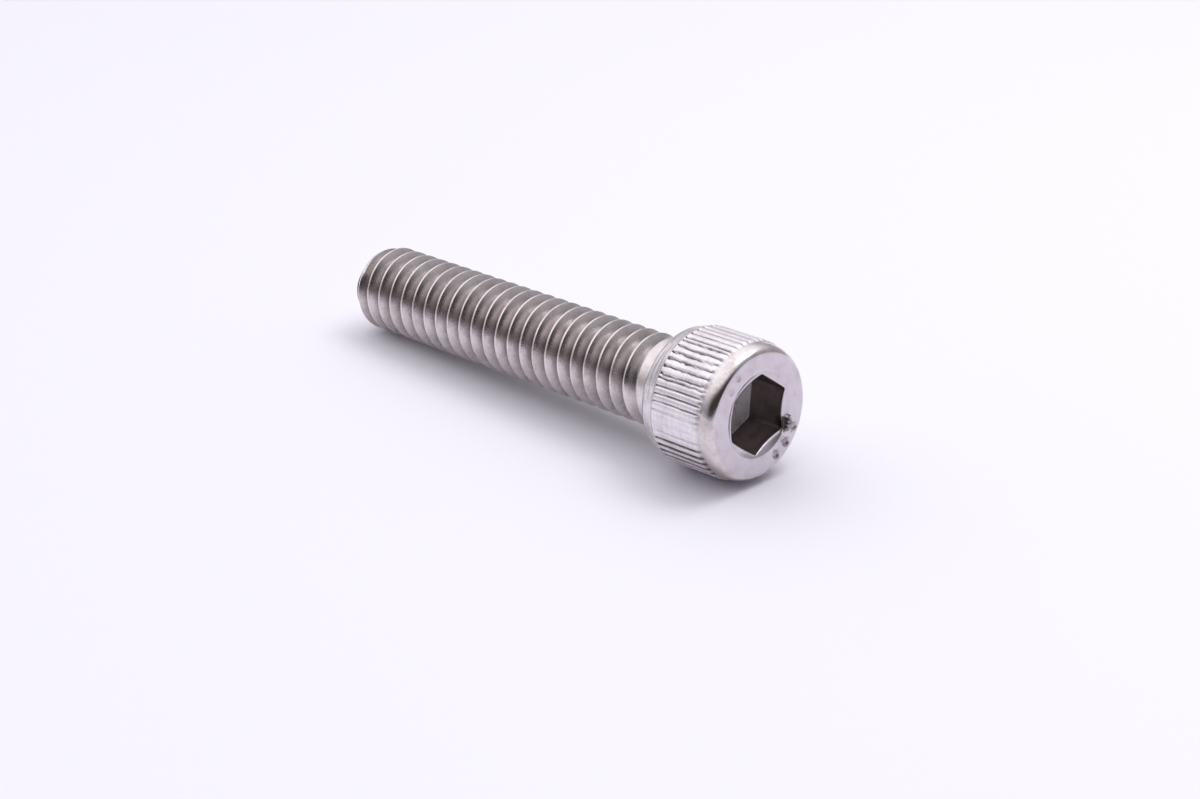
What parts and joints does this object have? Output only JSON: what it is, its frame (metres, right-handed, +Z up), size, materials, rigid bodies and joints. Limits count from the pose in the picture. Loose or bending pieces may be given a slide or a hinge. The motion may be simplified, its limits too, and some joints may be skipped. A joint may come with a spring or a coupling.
{
  "type": "hex socket cap screw",
  "caption": "Cylindrical-head machine screw with a hexagonal socket, a straight-knurled head and a fully threaded shank, lying on its side.",
  "frame": {"origin": "centre of the footprint of the lying screw, on the surface it lies on", "axes": "+Z up; +X towards the head along the lying screw, whose axis drops 2.9 degrees towards the point; Y across it"},
  "size_m": [0.0384, 0.0096, 0.0097],
  "materials": {
    "stainless": "dull satin stainless steel, brighter on the knurl and the rim"
  },
  "bodies": {
    "root": {"cap_screw": "stainless"}
  },
  "joints": []
}
